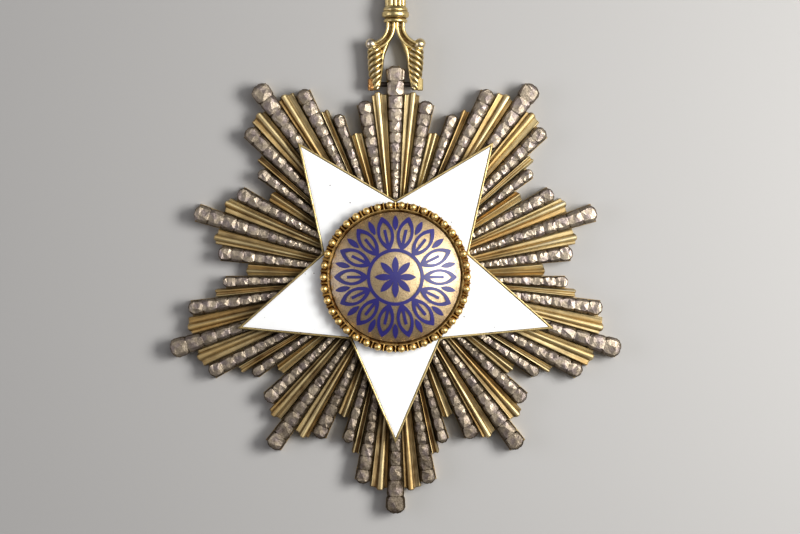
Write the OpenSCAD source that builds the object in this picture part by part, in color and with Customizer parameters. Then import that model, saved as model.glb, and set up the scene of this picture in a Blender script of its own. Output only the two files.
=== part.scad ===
/* [Rays] */
// Radius of the longest silver rays, the star's outer size
star_r = 35.6; // [34:0.1:38]
// Thickness of the gilt back plate
plate_t = 1.0; // [0.8:0.1:1.2]
// Height of the gilt rays' shoulders above the back
gilt_shoulder_z = 1.95; // [1.7:0.05:2.1]
// Height of the gilt rays' broad ridges above the back
gilt_ridge_z = 2.6; // [2.4:0.05:2.8]
// Height at which the silver rays' facets start
pip_foot_z = 2.3; // [2.1:0.05:2.5]
// Height of the silver rays' tables above the back
pip_table_z = 3.2; // [3.1:0.05:3.4]
// Share of its own radius that each pip takes along a silver ray
pip_share = 0.072; // [0.06:0.002:0.09]

/* [Enamel star] */
// Radius of the enamel star's points
point_r = 24.9; // [23:0.05:25]
// Radius of the enamel star's inner corners
corner_r = 11.5; // [11.45:0.05:12]
// Width of the gilt border round each enamel point
border_w = 0.32; // [0.25:0.01:0.4]
// Thickness of the gilt tray
frame_t = 1.05; // [0.9:0.05:1.3]
// Depth of the cells that hold the enamel
cell_depth = 0.6; // [0.5:0.05:0.7]

/* [Medallion] */
// Outer radius of the beaded bezel
rim_r = 11.3; // [11:0.05:11.4]
// Height of the bezel's land above its foot
rim_h = 1.6; // [1.4:0.05:2]
// Number of beads
bead_count = 38; // [30:1:40]
// Radius of a bead
bead_r = 0.54; // [0.45:0.01:0.56]
// Radius of the domed face
face_r = 9.7; // [9.5:0.05:9.75]
// Rise of the dome from its edge to its crown
dome_rise = 2.6; // [1:0.1:3]
// Number of leaves in the enamel ornament
leaf_count = 14; // [12:1:15]
// Stroke of the enamel ornament
stroke_w = 0.44; // [0.35:0.01:0.5]

/* [Suspension] */
// Distance of the hinge axis above the star's centre
hinge_y = 29.0; // [28.9:0.05:29.2]
// Radius of the hinge pin
pin_r = 0.37; // [0.3:0.01:0.4]
// Radius of the main ring moulding, which is also the axis height
collar_r = 2.05; // [2:0.05:2.1]
// Distance of the balls and drops from the yoke's middle line
drop_x = 3.0; // [2.95:0.01:3.05]
// Largest radius of a rope-twist drop
rope_r = 1.27; // [1.15:0.01:1.3]
// Outer radius of the plain suspension loop
loop_r = 3.6; // [3.4:0.1:4]
// Radius of the loop's hole
loop_hole_r = 2.6; // [2.2:0.1:2.7]
// Thickness of the loop
loop_t = 1.6; // [1.4:0.1:2]

/* [Hidden] */

gilt = "#c9a04a";
silver = "#b9b2a8";
white = "#f4f4f0";
blue = "#2e2a86";

// Clearances: between stacked or nested pieces, and at the hinge
gap = 0.05;
side_gap = 0.06;
hinge_gap = 0.05;
pin_gap = 0.03;

// The five long clusters of rays point this way, one of them straight down
cluster_a = 72;
first_cluster = 54;

// Rays of half a cluster, from its middle out: [offset, half width] in degrees, tip radius as a share
SILVER_RAYS = [[0, 2.2, 1], [9.25, 2.25, 0.885], [16.3, 2.1, 0.730], [25.8, 2.6, 0.756], [36, 2.6, 0.893]];
GILT_RAYS = [[4.6, 2.4, 0.904], [12.85, 1.35, 0.767], [20.8, 2.4, 0.632], [30.9, 2.5, 0.785]];

// Roof-shaped ridge along a gilt ray, as shares of the ray's half width at its foot and its top
ridge_foot = 0.70;
ridge_top = 0.14;

// How far the ridge ends beyond the gilt ray's body
ridge_nose = 0.3;

// Hub that joins the silver rays, and where the gilt rays start outside it
hub_r = 10.8;
gilt_start_r = hub_r + 0.25;
silver_z = plate_t + gap;
plate_inset = 0.35;

// Distance of an enamel cell's straight inner end from the star's centre
cell_root = 7.95;

// Levels of the stack above the rays
frame_z = pip_table_z + gap;
frame_top = frame_z + frame_t;
rim_z = frame_top + gap;
rim_top = rim_z + rim_h;
rim_floor = 0.6;
rim_wall_r = face_r + 0.1;
bead_circle_r = rim_r - bead_r - 0.03;
bead_lift = 0.12;
land_in_r = rim_wall_r + 0.28;
seat_drop = 0.3;
rim_chamfer = 0.25;
bar_w = 0.28;
bar_h = 0.22;
face_z = rim_z + rim_floor + gap;
face_edge_z = rim_top - 0.25;
dome_r = (face_r * face_r + dome_rise * dome_rise) / (2 * dome_rise);
dome_centre_z = face_edge_z + dome_rise - dome_r;
enamel_lift = 0.02;
enamel_skin = 0.14;

// Rivet through the stack
post_r = 1.5;
head_r = 4.5;
head_t = 0.65;
post_top = rim_z + 0.35;

// Hinge and yoke
axis_z = collar_r;
hinge_ray_pips = 2;
hinge_foot_z = axis_z + 0.55;
eye_r = 0.93;
eye_in = 2.0;
eye_out = 3.25;
eye_neck = 1.4;
pin_head_in = 3.3;
pin_head_out = 4.15;
pin_head_below = 0.95;
pin_head_above = 0.85;
pin_head_half = 0.6;
arm_x = 3.9;
arm_y = 37.85;
wire_in = 2.75;
wire_out = 3.65;
wire_r = 0.24;
web_half = 0.62;
ball_x = 3.66;
ball_y = 35.07;
ball_r = 0.86;
arm_top = 38.6;
stem_r = 1.2;
reed_r = 0.36;
reed_count = 12;
stem_y = 40.8;
loop_y = 49.2;
neck_r = 1.15;
loop_foot = loop_y - loop_r;

// Ring mouldings of the collar: [distance above the star's centre, length, radius without its round edge]
RINGS = [[38.3, 0.55, 1.5], [39.0, 1.0, collar_r - 0.5]];
groove_r = 1.55;
shoulder_y = 39.9;
shoulder_r = 1.8;

// Rope-twist drops: [distance above the star's centre, radius as a share] from the top down
ROPE = [[34.5, 0.55], [34.15, 0.90], [33.6, 1], [31.5, 0.93], [30.4, 0.84], [29.95, 0.76]];
rope_top = ROPE[0][0];
rope_end = ROPE[len(ROPE) - 1][0];
rope_sides = 16;
rope_strands = 4;
rope_lead = 3.5;
rope_rings = 20;
rope_valley = 0.84;

// Radius of the enamel star's edge at an angle from the middle of a point
point_half = atan2(corner_r * sin(36), point_r - corner_r * cos(36));
function star_edge(a) = point_r * sin(point_half) / sin(point_half + a);

// The ray that points straight up, and where its separate outer end starts
TOP_RAY = SILVER_RAYS[4];
hinge_ray_r = pip_valley(pip_start(TOP_RAY), star_r * TOP_RAY[2], hinge_ray_pips);

// Bar along +X that widens with its radius, with its half width at foot and top as shares of a wedge's
module wedge_bar(r0, r1, a, foot, top, z0, z1) {
    w = tan(a);
    hull()
        polyhedron(
            points = [for (r = [r0, r1]) each [[r, -r * w * foot, z0], [r, r * w * foot, z0],
                                               [r, r * w * top, z1], [r, -r * w * top, z1]]],
            faces = [[0, 1, 2, 3], [7, 6, 5, 4], [0, 4, 5, 1], [1, 5, 6, 2], [2, 6, 7, 3], [3, 7, 4, 0]]);
}

// Flat wedge from the centre, for the plate's outline
module wedge(r, a) {
    polygon([[0, 0], [r, -r * tan(a)], [r, r * tan(a)]]);
}

// Places a ray's shape at each of its places round the star
module round_star(ray) {
    sides = ray[0] == 0 || ray[0] == 36 ? [1] : [-1, 1];
    for (k = [0:4], side = sides)
        rotate(first_cluster + cluster_a * k + side * ray[0])
            children();
}

// Number of pips between two radii, and the radius of the valley behind the kth pip from the tip
function pip_count(r0, tip) = max(1, round(ln(r0 / tip) / ln(1 - pip_share)));
function pip_valley(r0, tip, k) = tip * pow(r0 / tip, k / pip_count(r0, tip));

// Where the facets of a silver ray start, just inside the enamel star's edge
function pip_start(ray) = star_edge(ray[0]) - 0.6;

// Silver ray cut into pips from r0 to its tip: each has a four-cornered table and eight facets
module pip_ray(r0, tip, a, foot_z) {
    n = pip_count(r0, tip);
    r = [for (k = [n:-1:0]) pip_valley(r0, tip, k)];
    w = [for (x = r) x * tan(a) - side_gap];
    tables = 2 * (n + 1);
    base = tables + 4 * n;
    points = concat(
        [for (k = [0:n]) each [[r[k], w[k], foot_z], [r[k], -w[k], foot_z]]],
        [for (k = [0:n - 1]) let (m = (r[k] + r[k + 1]) / 2, p = (r[k + 1] - r[k]) * 0.27, h = w[k] * 0.55)
            each [[m - p, 0, pip_table_z], [m, h, pip_table_z], [m + p, 0, pip_table_z],
                  [m, -h, pip_table_z]]],
        [for (k = [0, n]) each [[r[k], w[k], silver_z], [r[k], -w[k], silver_z]]]);
    facets = [for (k = [0:n - 1])
        let (t = tables + 4 * k, li = 2 * k, ri = 2 * k + 1, lo = 2 * k + 2, ro = 2 * k + 3)
        each [[t + 1, t + 2, t + 3, t], [t + 1, lo, t + 2], [t + 2, ro, t + 3], [t + 3, ri, t],
              [t, li, t + 1], [li, lo, t + 1], [lo, ro, t + 2], [ro, ri, t + 3], [ri, li, t]]];
    left = concat([for (k = [n:-1:0]) 2 * k], [base, base + 2]);
    right = concat([for (k = [0:n]) 2 * k + 1], [base + 3, base + 1]);
    ends = [[0, 1, base + 1, base], [2 * n + 1, 2 * n, base + 2, base + 3],
            [base, base + 1, base + 3, base + 2]];
    polyhedron(points = points, faces = concat(facets, [left, right], ends));
}

module gilt_star() {
    color(gilt)
        difference() {
            union() {
                linear_extrude(plate_t) {
                    circle(r = hub_r + 1, $fn = 80);
                    for (ray = concat(SILVER_RAYS, GILT_RAYS))
                        round_star(ray)
                            wedge(star_r * ray[2] - plate_inset, ray[1] + 0.05);
                }
                for (ray = GILT_RAYS)
                    round_star(ray)
                        gilt_ray(ray[1], star_r * ray[2]);
            }
            translate([0, 0, -1])
                cylinder(r = post_r + gap, h = 4, $fn = 48);
            translate([0, 0, -1])
                cylinder(r = head_r + gap, h = 1 + head_t + gap, $fn = 64);
        }
}

// Gilt ray: a body with square shoulders, and a roof-shaped ridge along it that ends a little beyond the body
module gilt_ray(a, tip) {
    wedge_bar(gilt_start_r, tip - ridge_nose, a, 0.96, 0.96, plate_t - 0.3, gilt_shoulder_z);
    wedge_bar(gilt_start_r + 0.1, tip, a, ridge_foot, ridge_top, gilt_shoulder_z - 0.15, gilt_ridge_z);
}

module silver_star() {
    color(silver)
        difference() {
            union() {
                translate([0, 0, silver_z])
                    cylinder(r = hub_r, h = pip_table_z - silver_z, $fn = 80);
                for (ray = SILVER_RAYS)
                    round_star(ray) {
                        wedge_bar(hub_r - 1, pip_start(ray) + 0.4, ray[1], 0.88, 0.88,
                                  silver_z, pip_foot_z - 0.1);
                        pip_ray(pip_start(ray), star_r * ray[2], ray[1], pip_foot_z);
                    }
            }
            translate([0, 0, silver_z - 1])
                cylinder(r = post_r + gap, h = 4, $fn = 48);
            // The top ray's outer end is a piece of its own
            translate([-2, hinge_ray_r - gap, 0])
                cube([4, 6, pip_table_z + 1]);
        }
}

// Outline of one enamel cell, its point along +X, drawn in by a margin
module cell(margin) {
    tip = point_r - margin / sin(point_half);
    // Where the point's edge meets the wall between two cells
    wall = margin * 0.6 / cos(36);
    corner_x = (tip * tan(point_half) + wall) / (tan(36) + tan(point_half));
    corner_y = (tip - corner_x) * tan(point_half);
    root_x = cell_root + margin;
    root_y = root_x * tan(36) - wall;
    polygon([[tip, 0], [corner_x, corner_y], [root_x, root_y], [root_x, -root_y], [corner_x, -corner_y]]);
}

module star_frame() {
    color(gilt)
        difference() {
            translate([0, 0, frame_z])
                linear_extrude(frame_t)
                    polygon([for (k = [0:4]) let (a = first_cluster + cluster_a * k)
                        each [point_r * [cos(a), sin(a)], corner_r * [cos(a + 36), sin(a + 36)]]]);
            for (k = [0:4])
                rotate(first_cluster + cluster_a * k)
                    translate([0, 0, frame_top - cell_depth])
                        linear_extrude(cell_depth + 1)
                            cell(border_w);
            translate([0, 0, frame_z - 1])
                cylinder(r = post_r + gap, h = 4, $fn = 48);
        }
}

module enamel_point(k) {
    color(white)
        rotate(first_cluster + cluster_a * k)
            translate([0, 0, frame_top - cell_depth + gap])
                linear_extrude(cell_depth - gap - 0.04)
                    cell(border_w + 0.04);
}

module medallion_rim() {
    color(gilt)
        union() {
            difference() {
                translate([0, 0, rim_z])
                    rotate_extrude($fn = 96)
                        polygon([[0, 0], [rim_r - rim_chamfer, 0],
                                 [rim_r - rim_chamfer, rim_floor - rim_chamfer],
                                 [rim_r, rim_floor], [rim_r, rim_h], [land_in_r, rim_h],
                                 [land_in_r - 0.1, rim_h - seat_drop], [rim_wall_r, rim_h - seat_drop],
                                 [rim_wall_r, rim_floor], [0, rim_floor]]);
                translate([0, 0, rim_z - 1])
                    cylinder(r = post_r + gap, h = 1 + post_top - rim_z + gap, $fn = 48);
            }
            for (k = [0:bead_count - 1])
                rotate(360 / bead_count * k)
                    translate([bead_circle_r, 0, rim_top + bead_lift])
                        sphere(r = bead_r, $fn = 32);
            for (k = [0:bead_count - 1])
                rotate(360 / bead_count * (k + 0.5))
                    translate([land_in_r + 0.12, -bar_w / 2, rim_top - bar_h])
                        cube([rim_r - land_in_r - 0.22, bar_w, 2 * bar_h]);
        }
}

module medallion_face() {
    color(gilt)
        intersection() {
            translate([0, 0, face_z])
                cylinder(r = face_r, h = rim_h + dome_rise + 1, $fn = 96);
            translate([0, 0, dome_centre_z])
                sphere(r = dome_r, $fn = 96);
        }
}

// Pointed leaf along +X between two radii, with a half width
module leaf(r0, r1, half) {
    l = (r1 - r0) / 2;
    rad = (l * l + half * half) / (2 * half);
    translate([(r0 + r1) / 2, 0])
        intersection() {
            translate([0, half - rad])
                circle(r = rad, $fn = 64);
            translate([0, rad - half])
                circle(r = rad, $fn = 64);
        }
}

// Flat layout of the ornament: outlined leaves with a midrib, drops between them, and a rosette
module ornament_plan() {
    step = 360 / leaf_count;
    difference() {
        circle(r = 4.25, $fn = 64);
        circle(r = 3.75, $fn = 64);
    }
    for (k = [0:leaf_count - 1])
        rotate(step * k) {
            difference() {
                leaf(4.0, 9.2, 1.22);
                leaf(4.0 + stroke_w * 2, 9.2 - stroke_w * 2, 1.22 - stroke_w);
            }
            translate([4.1, -stroke_w / 2])
                square([3.1, stroke_w]);
            rotate(step / 2)
                leaf(6.9, 9.2, 0.42);
        }
    for (k = [0:7])
        rotate(45 * k)
            leaf(0.35, 3.1, 0.5);
    circle(r = 0.85, $fn = 32);
}

module medallion_ornament() {
    color(blue)
        intersection() {
            translate([0, 0, face_z])
                linear_extrude(rim_h + dome_rise + 1)
                    ornament_plan();
            difference() {
                translate([0, 0, dome_centre_z])
                    sphere(r = dome_r + enamel_skin, $fn = 96);
                translate([0, 0, dome_centre_z])
                    sphere(r = dome_r + enamel_lift, $fn = 96);
            }
        }
}

module centre_post() {
    color(gilt)
        union() {
            cylinder(r = head_r, h = head_t, $fn = 64);
            cylinder(r = post_r, h = post_top, $fn = 48);
        }
}

// Outer end of the top silver ray, drilled across for the hinge pin
module hinge_ray() {
    color(silver)
        difference() {
            rotate(90)
                pip_ray(hinge_ray_r, star_r * TOP_RAY[2], TOP_RAY[1], hinge_foot_z);
            translate([-3, hinge_y, axis_z])
                rotate([0, 90, 0])
                    cylinder(r = pin_r + hinge_gap, h = 6, $fn = 48);
        }
}

// Twisted drop on the right side: strands with sharp valleys that run round a tapered core
module rope_drop() {
    n = rope_sides;
    y = [for (k = [0:rope_rings]) rope_end + (rope_top - rope_end) * k / rope_rings];
    points = [for (k = [0:rope_rings], i = [0:n - 1])
        let (share = lookup(y[k], ROPE), turn = 360 * (y[k] - rope_end) / rope_lead,
             r = rope_r * share * (i % rope_strands == 0 ? rope_valley : 1), a = 360 * i / n + turn)
        [drop_x + r * cos(a), y[k], axis_z + r * sin(a)]];
    sides = [for (k = [0:rope_rings - 1], i = [0:n - 1]) let (j = (i + 1) % n)
        each [[k * n + i, k * n + j, (k + 1) * n + i], [k * n + j, (k + 1) * n + j, (k + 1) * n + i]]];
    ends = [[for (i = [n - 1:-1:0]) i], [for (i = [0:n - 1]) rope_rings * n + i]];
    polyhedron(points = points, faces = concat(sides, ends));
}

// Section of an arm across its length: a web with two wires at the front and two at the back
module arm_section() {
    translate([wire_in, -web_half])
        square([wire_out - wire_in, 2 * web_half]);
    for (x = [wire_in, wire_out], z = [-1, 1])
        translate([x, z * web_half])
            circle(r = wire_r, $fn = 24);
}

// Right half of the yoke: arm, ball, drop and hinge eye
module yoke_half() {
    translate([arm_x, arm_y, axis_z])
        rotate(180)
            rotate_extrude(angle = 90, $fn = 96)
                arm_section();
    translate([arm_x, arm_y, axis_z])
        rotate([-90, 0, 0])
            mirror([1, 0, 0])
                linear_extrude(arm_top - arm_y)
                    arm_section();
    translate([ball_x, ball_y, axis_z])
        sphere(r = ball_r, $fn = 48);
    rope_drop();
    translate([eye_in, hinge_y, axis_z])
        rotate([0, 90, 0])
            cylinder(r = eye_r, h = eye_out - eye_in, $fn = 48);
    translate([eye_in + 0.05, hinge_y, axis_z - eye_neck / 2])
        cube([eye_out - eye_in - 0.1, rope_end + 0.4 - hinge_y, eye_neck]);
}

// Ring mouldings and reeded stem, along +Y
module collar() {
    translate([0, 0, axis_z])
        rotate([-90, 0, 0]) {
            rotate_extrude($fn = 96) {
                for (ring = RINGS) {
                    translate([0, ring[0]])
                        square([ring[2], ring[1]]);
                    translate([ring[2], ring[0] + ring[1] / 2])
                        circle(r = ring[1] / 2, $fn = 24);
                }
                translate([0, RINGS[0][0] + RINGS[0][1] / 2])
                    square([groove_r, RINGS[1][0] - RINGS[0][0]]);
                polygon([[0, shoulder_y], [shoulder_r, shoulder_y], [stem_r + 0.3, stem_y], [0, stem_y]]);
            }
            translate([0, 0, stem_y - 0.1])
                linear_extrude(loop_foot - stem_y - 0.3) {
                    circle(r = stem_r, $fn = 48);
                    for (k = [0:reed_count - 1])
                        rotate(360 / reed_count * k)
                            translate([stem_r, 0])
                                circle(r = reed_r, $fn = 24);
                }
            translate([0, 0, stem_y])
                cylinder(r = neck_r, h = loop_foot - stem_y + 0.55, $fn = 48);
        }
}

module suspension_yoke() {
    color(gilt)
        difference() {
            union() {
                yoke_half();
                mirror([1, 0, 0])
                    yoke_half();
                collar();
                translate([0, loop_y, axis_z - loop_t / 2])
                    cylinder(r = loop_r, h = loop_t, $fn = 96);
            }
            translate([0, loop_y, axis_z - 3])
                cylinder(r = loop_hole_r, h = 6, $fn = 96);
            translate([-5, hinge_y, axis_z])
                rotate([0, 90, 0])
                    cylinder(r = pin_r + pin_gap, h = 10, $fn = 48);
        }
}

module hinge_pin() {
    color(gilt)
        union() {
            translate([-pin_head_in - 0.3, hinge_y, axis_z])
                rotate([0, 90, 0])
                    cylinder(r = pin_r, h = 2 * (pin_head_in + 0.3), $fn = 48);
            for (x = [-pin_head_out, pin_head_in])
                translate([x, hinge_y - pin_head_below, axis_z - pin_head_half])
                    cube([pin_head_out - pin_head_in, pin_head_below + pin_head_above, 2 * pin_head_half]);
        }
}

gilt_star();
silver_star();
star_frame();
enamel_point(0);  // enamel_point_1
enamel_point(1);  // enamel_point_2
enamel_point(2);  // enamel_point_3
enamel_point(3);  // enamel_point_4
enamel_point(4);  // enamel_point_5
medallion_rim();
medallion_face();
medallion_ornament();
centre_post();
hinge_ray();
suspension_yoke();
hinge_pin();
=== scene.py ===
"""Looks for the order insignia: cut silver, struck gilding and fired enamel on a pale floor."""

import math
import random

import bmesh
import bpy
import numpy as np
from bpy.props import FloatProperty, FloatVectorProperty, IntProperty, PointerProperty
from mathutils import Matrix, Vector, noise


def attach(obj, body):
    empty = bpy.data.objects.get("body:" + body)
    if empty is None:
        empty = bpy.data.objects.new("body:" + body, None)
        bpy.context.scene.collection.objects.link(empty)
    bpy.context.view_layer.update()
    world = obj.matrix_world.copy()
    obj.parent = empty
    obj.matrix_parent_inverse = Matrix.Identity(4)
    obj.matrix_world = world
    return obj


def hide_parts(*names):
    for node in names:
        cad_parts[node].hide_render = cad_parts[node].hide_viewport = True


bl_info = {
    "name": "Order insignia",
    "version": (1, 0, 0),
    "blender": (4, 5, 0),
    "location": "3D View > Sidebar > Insignia",
    "description": "Builds a badge of cut silver and gilt rays with an enamel star and a beaded medallion",
    "category": "Object",
}

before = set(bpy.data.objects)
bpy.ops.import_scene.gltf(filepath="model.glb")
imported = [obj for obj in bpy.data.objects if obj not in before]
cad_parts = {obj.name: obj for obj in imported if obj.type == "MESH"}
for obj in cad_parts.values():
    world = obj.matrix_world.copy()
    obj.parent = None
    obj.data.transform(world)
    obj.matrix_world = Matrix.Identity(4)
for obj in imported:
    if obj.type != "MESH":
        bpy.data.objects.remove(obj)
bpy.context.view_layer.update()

MM = 0.001

# Sizes in millimetres, the same as the part's own: the star's layers, a gap apart
GAP = 0.05
STAR_R = 35.6
PLATE_T = 1.0
PLATE_INSET = 0.35
GILT_FOOT = 0.92
GILT_START_R = 11.05
SILVER_Z = PLATE_T + GAP
SIDE_GAP = 0.06
HUB_R = 10.8
HUB_TOP = 3.2
LINK_TOP = 2.05
PIP_EDGE_Z = 2.5
FRAME_Z = HUB_TOP + GAP
FRAME_TOP = FRAME_Z + 1.05
POINT_R = 24.9
CORNER_R = 11.5
BORDER_W = 0.32
CELL_DEPTH = 0.6
CELL_ROOT = 7.95
RIM_R = 11.3
RIM_Z = FRAME_TOP + GAP
RIM_TOP = RIM_Z + 1.6
RIM_FLOOR_Z = RIM_Z + 0.6
BEAD_LIFT = 0.12
FACE_R = 9.7
FACE_Z = RIM_FLOOR_Z + GAP
FACE_EDGE_Z = RIM_TOP - 0.25
HEAD_R = 4.5
HEAD_T = 0.65
POST_R = 1.5

# The yoke and its pin
HINGE_Y = 29.0
AXIS_Z = 2.05
HINGE_EDGE_Z = AXIS_Z + 0.55
PIN_R = 0.37
PIN_HALF = 3.6
PIN_HEAD_LOW = (3.3, HINGE_Y - 0.95, AXIS_Z - 0.6)
PIN_HEAD_HIGH = (4.15, HINGE_Y + 0.85, AXIS_Z + 0.6)
DROP_X = 3.0
ARM_X = 3.9
ARM_Y = 37.85
ARM_TOP = 38.6
BALL_PLACE = (3.66, 35.07, AXIS_Z + 0.28)
BALL_R = 0.86
LOOP_Y = 49.2
LOOP_R = 3.6
LOOP_HOLE_R = 2.6
LOOP_HALF = 0.8

# Directions in degrees: the middle of the first cluster of rays, and from one cluster to the next
FIRST_CLUSTER = 54
CLUSTER = 72
CLUSTER_HALF = math.radians(CLUSTER / 2)
# Directions in degrees in which the rays get the most painted shade: at the bottom, and at the upper left
SHADED_BELOW = 267
SHADED_LEFT = 150

# Half the angle of the enamel star's points
POINT_HALF = math.atan2(CORNER_R * math.sin(CLUSTER_HALF), POINT_R - CORNER_R * math.cos(CLUSTER_HALF))

# Rays of half a cluster, from its middle out:
# offset and half width in degrees, tip radius as a share of STAR_R
SILVER_RAYS = [(0, 2.2, 1), (9.25, 2.25, 0.885), (16.3, 2.1, 0.730), (25.8, 2.6, 0.756), (36, 2.6, 0.893)]
GILT_RAYS = [(4.6, 2.4, 0.904), (12.85, 1.35, 0.767), (20.8, 2.4, 0.632), (30.9, 2.5, 0.785)]

# Half sections of the gilt rays from the side to the middle:
# share of the half width, height, how far the end stands back from the tip, how sheltered
BROAD_SECTION = [
    (1.00, GILT_FOOT, 0.50, 0.8), (0.985, 1.80, 0.48, 0.7), (0.95, 2.04, 0.42, 0.1), (0.89, 2.09, 0.38, 0),
    (0.83, 2.04, 0.38, 0.5), (0.72, 2.03, 0.38, 0.4), (0.60, 2.00, 0.34, 0.45), (0.50, 1.98, 0.28, 0.6),
    (0.42, 2.06, 0.18, 0.5), (0.34, 2.28, 0.09, 0.2), (0.25, 2.48, 0.03, 0), (0.13, 2.57, 0, 0),
    (0, 2.60, 0, 0),
]
VALLEY_SECTION = [
    (1.00, GILT_FOOT, 0.30, 0.8), (0.97, 1.80, 0.26, 0.7), (0.90, 2.00, 0.22, 0.1), (0.78, 2.04, 0.20, 0),
    (0.66, 1.94, 0.18, 0.5), (0.56, 1.90, 0.15, 0.7), (0.46, 1.96, 0.10, 0.3), (0.34, 2.10, 0.06, 0.1),
    (0.22, 2.24, 0.02, 0), (0.11, 2.33, 0, 0), (0, 2.36, 0, 0),
]
NARROW_SECTION = [
    (1.00, GILT_FOOT, 0.26, 0.8), (0.95, 1.70, 0.20, 0.8), (0.80, 2.14, 0.08, 0.1), (0.66, 2.28, 0.04, 0),
    (0.50, 2.26, 0.06, 0), (0.32, 2.06, 0.12, 0.5), (0.16, 1.94, 0.15, 0.8), (0, 1.94, 0.16, 0.8),
]
GILT_SECTIONS = [BROAD_SECTION, NARROW_SECTION, VALLEY_SECTION, BROAD_SECTION]
# The ridges lean towards the middle of their cluster by this share of the half width
RIDGE_SKEW = 0.2
# Sections of a gilt ray along it, as shares of its length: the last ones wear its end down
GILT_STATIONS = [0.0, 0.15, 0.3, 0.45, 0.6, 0.75, 0.88, 0.97, 0.992, 1.0]
# Above this height the ribs are a little uneven
RIBS_Z = 1.9

# Corners of one side of a pip, along it from -0.5 to 0.5: the edge of its table, with shares of the table's
# half width, the crown below, with shares of the ray's half width, and the girdle, at the ray's side
PIP_TABLE = [(-0.46, 0.82), (-0.28, 0.98), (0.0, 1.04), (0.28, 0.98), (0.46, 0.82)]
PIP_CROWN = [(-0.42, 0.82), (-0.14, 0.88), (0.14, 0.88), (0.42, 0.80)]
PIP_GIRDLE = [-0.33, 0.31]
# The outermost pip is drawn in at its front, where a bow runs from its girdle round to its nose: along the
# pip, across the ray, height over the ray's edge
TIP_TABLE = PIP_TABLE[:3] + [(0.21, 0.98), (0.31, 0.66)]
TIP_CROWN = PIP_CROWN[:2] + [(0.10, 0.88), (0.26, 0.80)]
TIP_GIRDLE = [-0.33, 0.12]
TIP_BOW = [(0.30, 0.81, 0.18), (0.43, 0.52, 0.20), (0.495, 0.22, 0.24)]
# The middle ray of a cluster is wider at its tip by this much on each side
TIP_FLARE = 0.22

# Section of the bezel from its foot over the outer wall, the bead channel and the inner lip to its floor:
# radius, height, how sheltered
BEZEL_SECTION = [
    (0, RIM_Z, 1), (11.0, RIM_Z, 1), (11.0, 4.70, 1), (11.12, 4.80, 0.8), (11.14, 5.0, 0.6),
    (11.14, 5.40, 0.8), (11.10, 5.52, 0.9), (10.98, 5.58, 1), (10.73, 5.54, 1), (10.40, 5.58, 1),
    (10.30, 5.66, 1), (10.24, 5.84, 0.8), (10.17, 5.92, 0.6), (10.06, 5.92, 0.6), (9.96, 5.82, 0.8),
    (9.86, 5.71, 0.6), (9.80, 5.62, 1), (9.80, RIM_FLOOR_Z, 1), (0, RIM_FLOOR_Z, 1),
]
# The small bar between two beads: radius, share of its full thickness
SPOOL = [(10.16, 0.7), (10.22, 0.95), (10.42, 0.95), (10.62, 0.8), (10.85, 0.8), (11.02, 0.95),
         (11.16, 0.95), (11.24, 0.6)]
SPOOL_Z = 5.78
SPOOL_HALF_W = 0.14
SPOOL_HALF_H = 0.24

# Rope-twist drop: place along Y and share of its largest radius
ROPE = [(28.12, 0.30), (28.25, 0.48), (28.6, 0.57), (29.2, 0.62), (29.8, 0.72), (30.4, 0.83), (31.5, 0.93),
        (33.2, 1.0), (34.0, 0.98), (34.5, 0.86), (34.9, 0.55)]
# Front half of an arm's section, two wires on a web:
# radius of the bend, height over the axis, how sheltered
ARM_SECTION = [
    (3.89, 0.35, 0.5), (3.89, 0.62, 0.1), (3.855, 0.75, 0), (3.76, 0.84, 0), (3.65, 0.86, 0),
    (3.54, 0.83, 0), (3.45, 0.74, 0.2), (3.41, 0.60, 0.7), (3.38, 0.46, 1), (3.02, 0.46, 1),
    (2.99, 0.60, 0.7), (2.95, 0.74, 0.2), (2.86, 0.83, 0), (2.75, 0.86, 0), (2.64, 0.84, 0),
    (2.545, 0.75, 0), (2.51, 0.62, 0.1), (2.51, 0.35, 0.5),
]
# Middle of the strip inside a drop, from the arm down, and its half thickness and depth by place along Y
FILLET_PATH = [(0.98, 35.95), (1.24, 35.15), (1.60, 34.4), (1.84, 33.6), (1.93, 32.8), (1.99, 31.8),
               (2.08, 30.8), (2.22, 29.8), (2.38, 28.9), (2.50, 28.4)]
FILLET_THICK = [(28.4, 0.15), (32.5, 0.20), (34.4, 0.42), (35.2, 0.30)]
FILLET_DEEP = [(28.4, 0.5), (30.5, 0.72), (34.5, 0.82)]
# Eye of a drop on the pin: radius, place along the pin
EYE_SECTION = [(0.40, 2.3), (0.58, 2.3), (0.66, 2.38), (0.66, 3.17), (0.58, 3.25), (0.40, 3.25)]
# Ring mouldings between the arms and the stem: radius, place along Y, how sheltered
COLLAR_SECTION = [
    (0, 38.25, 1), (1.45, 38.25, 0.6), (1.66, 38.30, 0.1), (1.76, 38.40, 0), (1.78, 38.58, 0),
    (1.74, 38.72, 0), (1.64, 38.84, 0.4), (1.58, 38.90, 1), (1.60, 38.97, 1), (1.80, 39.02, 0.5),
    (1.95, 39.12, 0.1), (2.03, 39.28, 0), (2.05, 39.48, 0), (2.05, 39.66, 0), (1.99, 39.84, 0),
    (1.88, 39.94, 0.3), (1.78, 39.99, 1), (1.84, 40.06, 0.3), (1.86, 40.18, 0), (1.80, 40.38, 0),
    (1.68, 40.58, 0), (1.54, 40.76, 0.3), (1.46, 40.84, 0.8), (1.3, 40.88, 1), (0, 40.88, 1),
]
# Reeded stem: place along Y and share of its full thickness, and the neck over it: radius and place along Y
STEM = [(40.7, 1.0), (42.0, 1.0), (43.5, 1.0), (45.0, 1.0), (45.15, 0.97), (45.25, 0.88)]
NECK_SECTION = [(0, 44.9), (1.2, 44.9), (1.42, 45.15), (1.46, 45.35), (1.38, 45.52), (1.15, 45.62),
                (1.10, 45.75), (1.15, 46.15), (0, 46.15)]
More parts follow.
